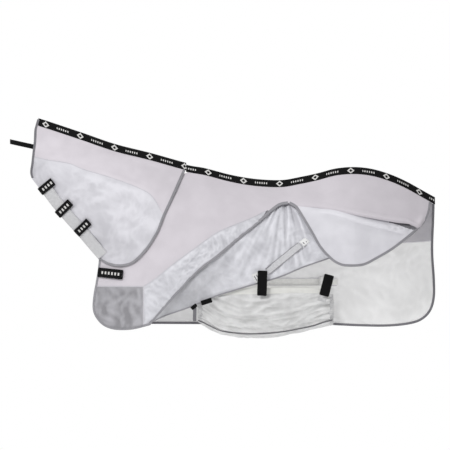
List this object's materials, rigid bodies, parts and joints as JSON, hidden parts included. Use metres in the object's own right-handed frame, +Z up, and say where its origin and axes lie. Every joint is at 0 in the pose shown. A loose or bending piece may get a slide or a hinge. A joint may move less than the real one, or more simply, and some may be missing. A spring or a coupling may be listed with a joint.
{
  "type": "horse fly sheet",
  "caption": "Mesh fly sheet for a horse with a neck cover, hook-and-loop tabs and a belly flap, held as worn with its near hem lifted.",
  "frame": {"origin": "on the horse's back at the withers, on the middle line, 24 mm under the ridge of the spine tape", "axes": "+Z up, the horse faces -X, its near (left) side is at -Y"},
  "size_m": [2.3473, 0.5135, 1.2081],
  "materials": {
    "upper_cloth": "close woven polyester, pale lilac grey, matt",
    "crinkled_mesh": "fine translucent polyester mesh, white, softly crinkled",
    "satin_lining": "grey satin lining cloth with a soft sheen",
    "grey_binding": "folded grey binding tape, stitched",
    "black_webbing": "black polyester webbing",
    "loop_tape": "grey loop side of hook-and-loop tape",
    "facing_cloth": "pale grey brushed facing cloth",
    "label_cloth": "white woven label, plain",
    "ruched_elastic": "gathered elastic edge"
  },
  "bodies": {
    "sheet": {"near_upper_panel": "upper_cloth", "far_upper_panel": "upper_cloth", "near_mesh_panel": "crinkled_mesh", "far_mesh_panel": "crinkled_mesh", "near_chest_panel": "satin_lining", "far_chest_panel": "satin_lining", "body_topline_tape": "black_webbing", "near_chest_binding": "grey_binding", "far_chest_binding": "grey_binding", "near_hem_binding": "grey_binding", "near_tail_binding": "grey_binding", "far_hem_binding": "grey_binding", "wing_panel": "crinkled_mesh", "wing_binding": "grey_binding", "near_loop_strip": "loop_tape", "upper_label": "label_cloth", "lower_label": "label_cloth", "far_loop_strip": "loop_tape", "belly_far_tab_1": "black_webbing", "belly_far_tab_2": "black_webbing", "belly_far_tab_3": "black_webbing", "chest_loop_patch": "loop_tape"},
    "neck_cover": {"neck_near_upper_panel": "upper_cloth", "neck_far_upper_panel": "upper_cloth", "neck_near_mesh_panel": "crinkled_mesh", "neck_far_mesh_panel": "crinkled_mesh", "neck_near_front_binding": "grey_binding", "neck_far_front_binding": "grey_binding", "neck_near_rear_binding": "grey_binding", "neck_far_rear_binding": "grey_binding", "neck_topline_tape": "black_webbing", "throat_facing": "facing_cloth"},
    "throat_tab_1": {"throat_tab_1": "black_webbing"},
    "throat_tab_2": {"throat_tab_2": "black_webbing"},
    "throat_tab_3": {"throat_tab_3": "black_webbing"},
    "poll_strap": {"poll_strap": "black_webbing"},
    "chest_tab": {"chest_tab": "black_webbing"},
    "near_skirt": {"near_skirt_panel": "crinkled_mesh", "near_skirt_binding": "grey_binding"},
    "belly_flap": {"belly_flap_panel": "crinkled_mesh", "belly_near_binding": "grey_binding", "belly_far_binding": "grey_binding", "belly_front_elastic": "ruched_elastic", "belly_rear_elastic": "ruched_elastic", "belly_rear_keeper": "ruched_elastic"},
    "belly_front_tab": {"belly_front_tab": "black_webbing"},
    "belly_middle_tab": {"belly_middle_tab": "black_webbing"},
    "belly_rear_tab": {"belly_rear_tab": "black_webbing"}
  },
  "joints": [
    {"name": "neck_cover_lift", "type": "hinge", "parent": "sheet", "child": "neck_cover", "pos_m": [-0.08, 0, 0.066], "axis": [0, 1, 0], "range_deg": [0, 18]},
    {"name": "throat_tab_1_fold", "type": "hinge", "parent": "neck_cover", "child": "throat_tab_1", "pos_m": [-0.8825, -0.0195, -0.1103], "axis": [0.6269, 0, -0.7791], "range_deg": [0, 120]},
    {"name": "throat_tab_2_fold", "type": "hinge", "parent": "neck_cover", "child": "throat_tab_2", "pos_m": [-0.7753, -0.024, -0.2282], "axis": [0.6269, 0, -0.7791], "range_deg": [0, 120]},
    {"name": "throat_tab_3_fold", "type": "hinge", "parent": "neck_cover", "child": "throat_tab_3", "pos_m": [-0.6832, -0.0243, -0.342], "axis": [0.6269, 0, -0.7791], "range_deg": [0, 120]},
    {"name": "poll_strap_swing", "type": "hinge", "parent": "neck_cover", "child": "poll_strap", "pos_m": [-0.906, 0, 0.137], "axis": [0, 1, 0], "range_deg": [-30, 30]},
    {"name": "chest_tab_fold", "type": "hinge", "parent": "sheet", "child": "chest_tab", "pos_m": [-0.5624, -0.0204, -0.5509], "axis": [-0.0995, 0, -0.995], "range_deg": [0, 120]},
    {"name": "near_skirt_swing", "type": "hinge", "parent": "sheet", "child": "near_skirt", "pos_m": [0.87, -0.238, -0.243], "axis": [-0.9863, 0, 0.165], "range_deg": [0, 20]},
    {"name": "belly_flap_open", "type": "hinge", "parent": "sheet", "child": "belly_flap", "pos_m": [-0.01, 0.205, -0.626], "axis": [1, 0, 0], "range_deg": [0, 13]},
    {"name": "belly_front_tab_fold", "type": "hinge", "parent": "belly_flap", "child": "belly_front_tab", "pos_m": [0.004, -0.206, -0.722], "axis": [0.2981, 0, -0.9545], "range_deg": [0, 100]},
    {"name": "belly_middle_tab_fold", "type": "hinge", "parent": "belly_flap", "child": "belly_middle_tab", "pos_m": [0.342, -0.208, -0.68], "axis": [1, 0, 0], "range_deg": [0, 110]},
    {"name": "belly_rear_tab_fold", "type": "hinge", "parent": "belly_flap", "child": "belly_rear_tab", "pos_m": [0.681, -0.206, -0.681], "axis": [1, 0, 0], "range_deg": [0, 110]}
  ]
}
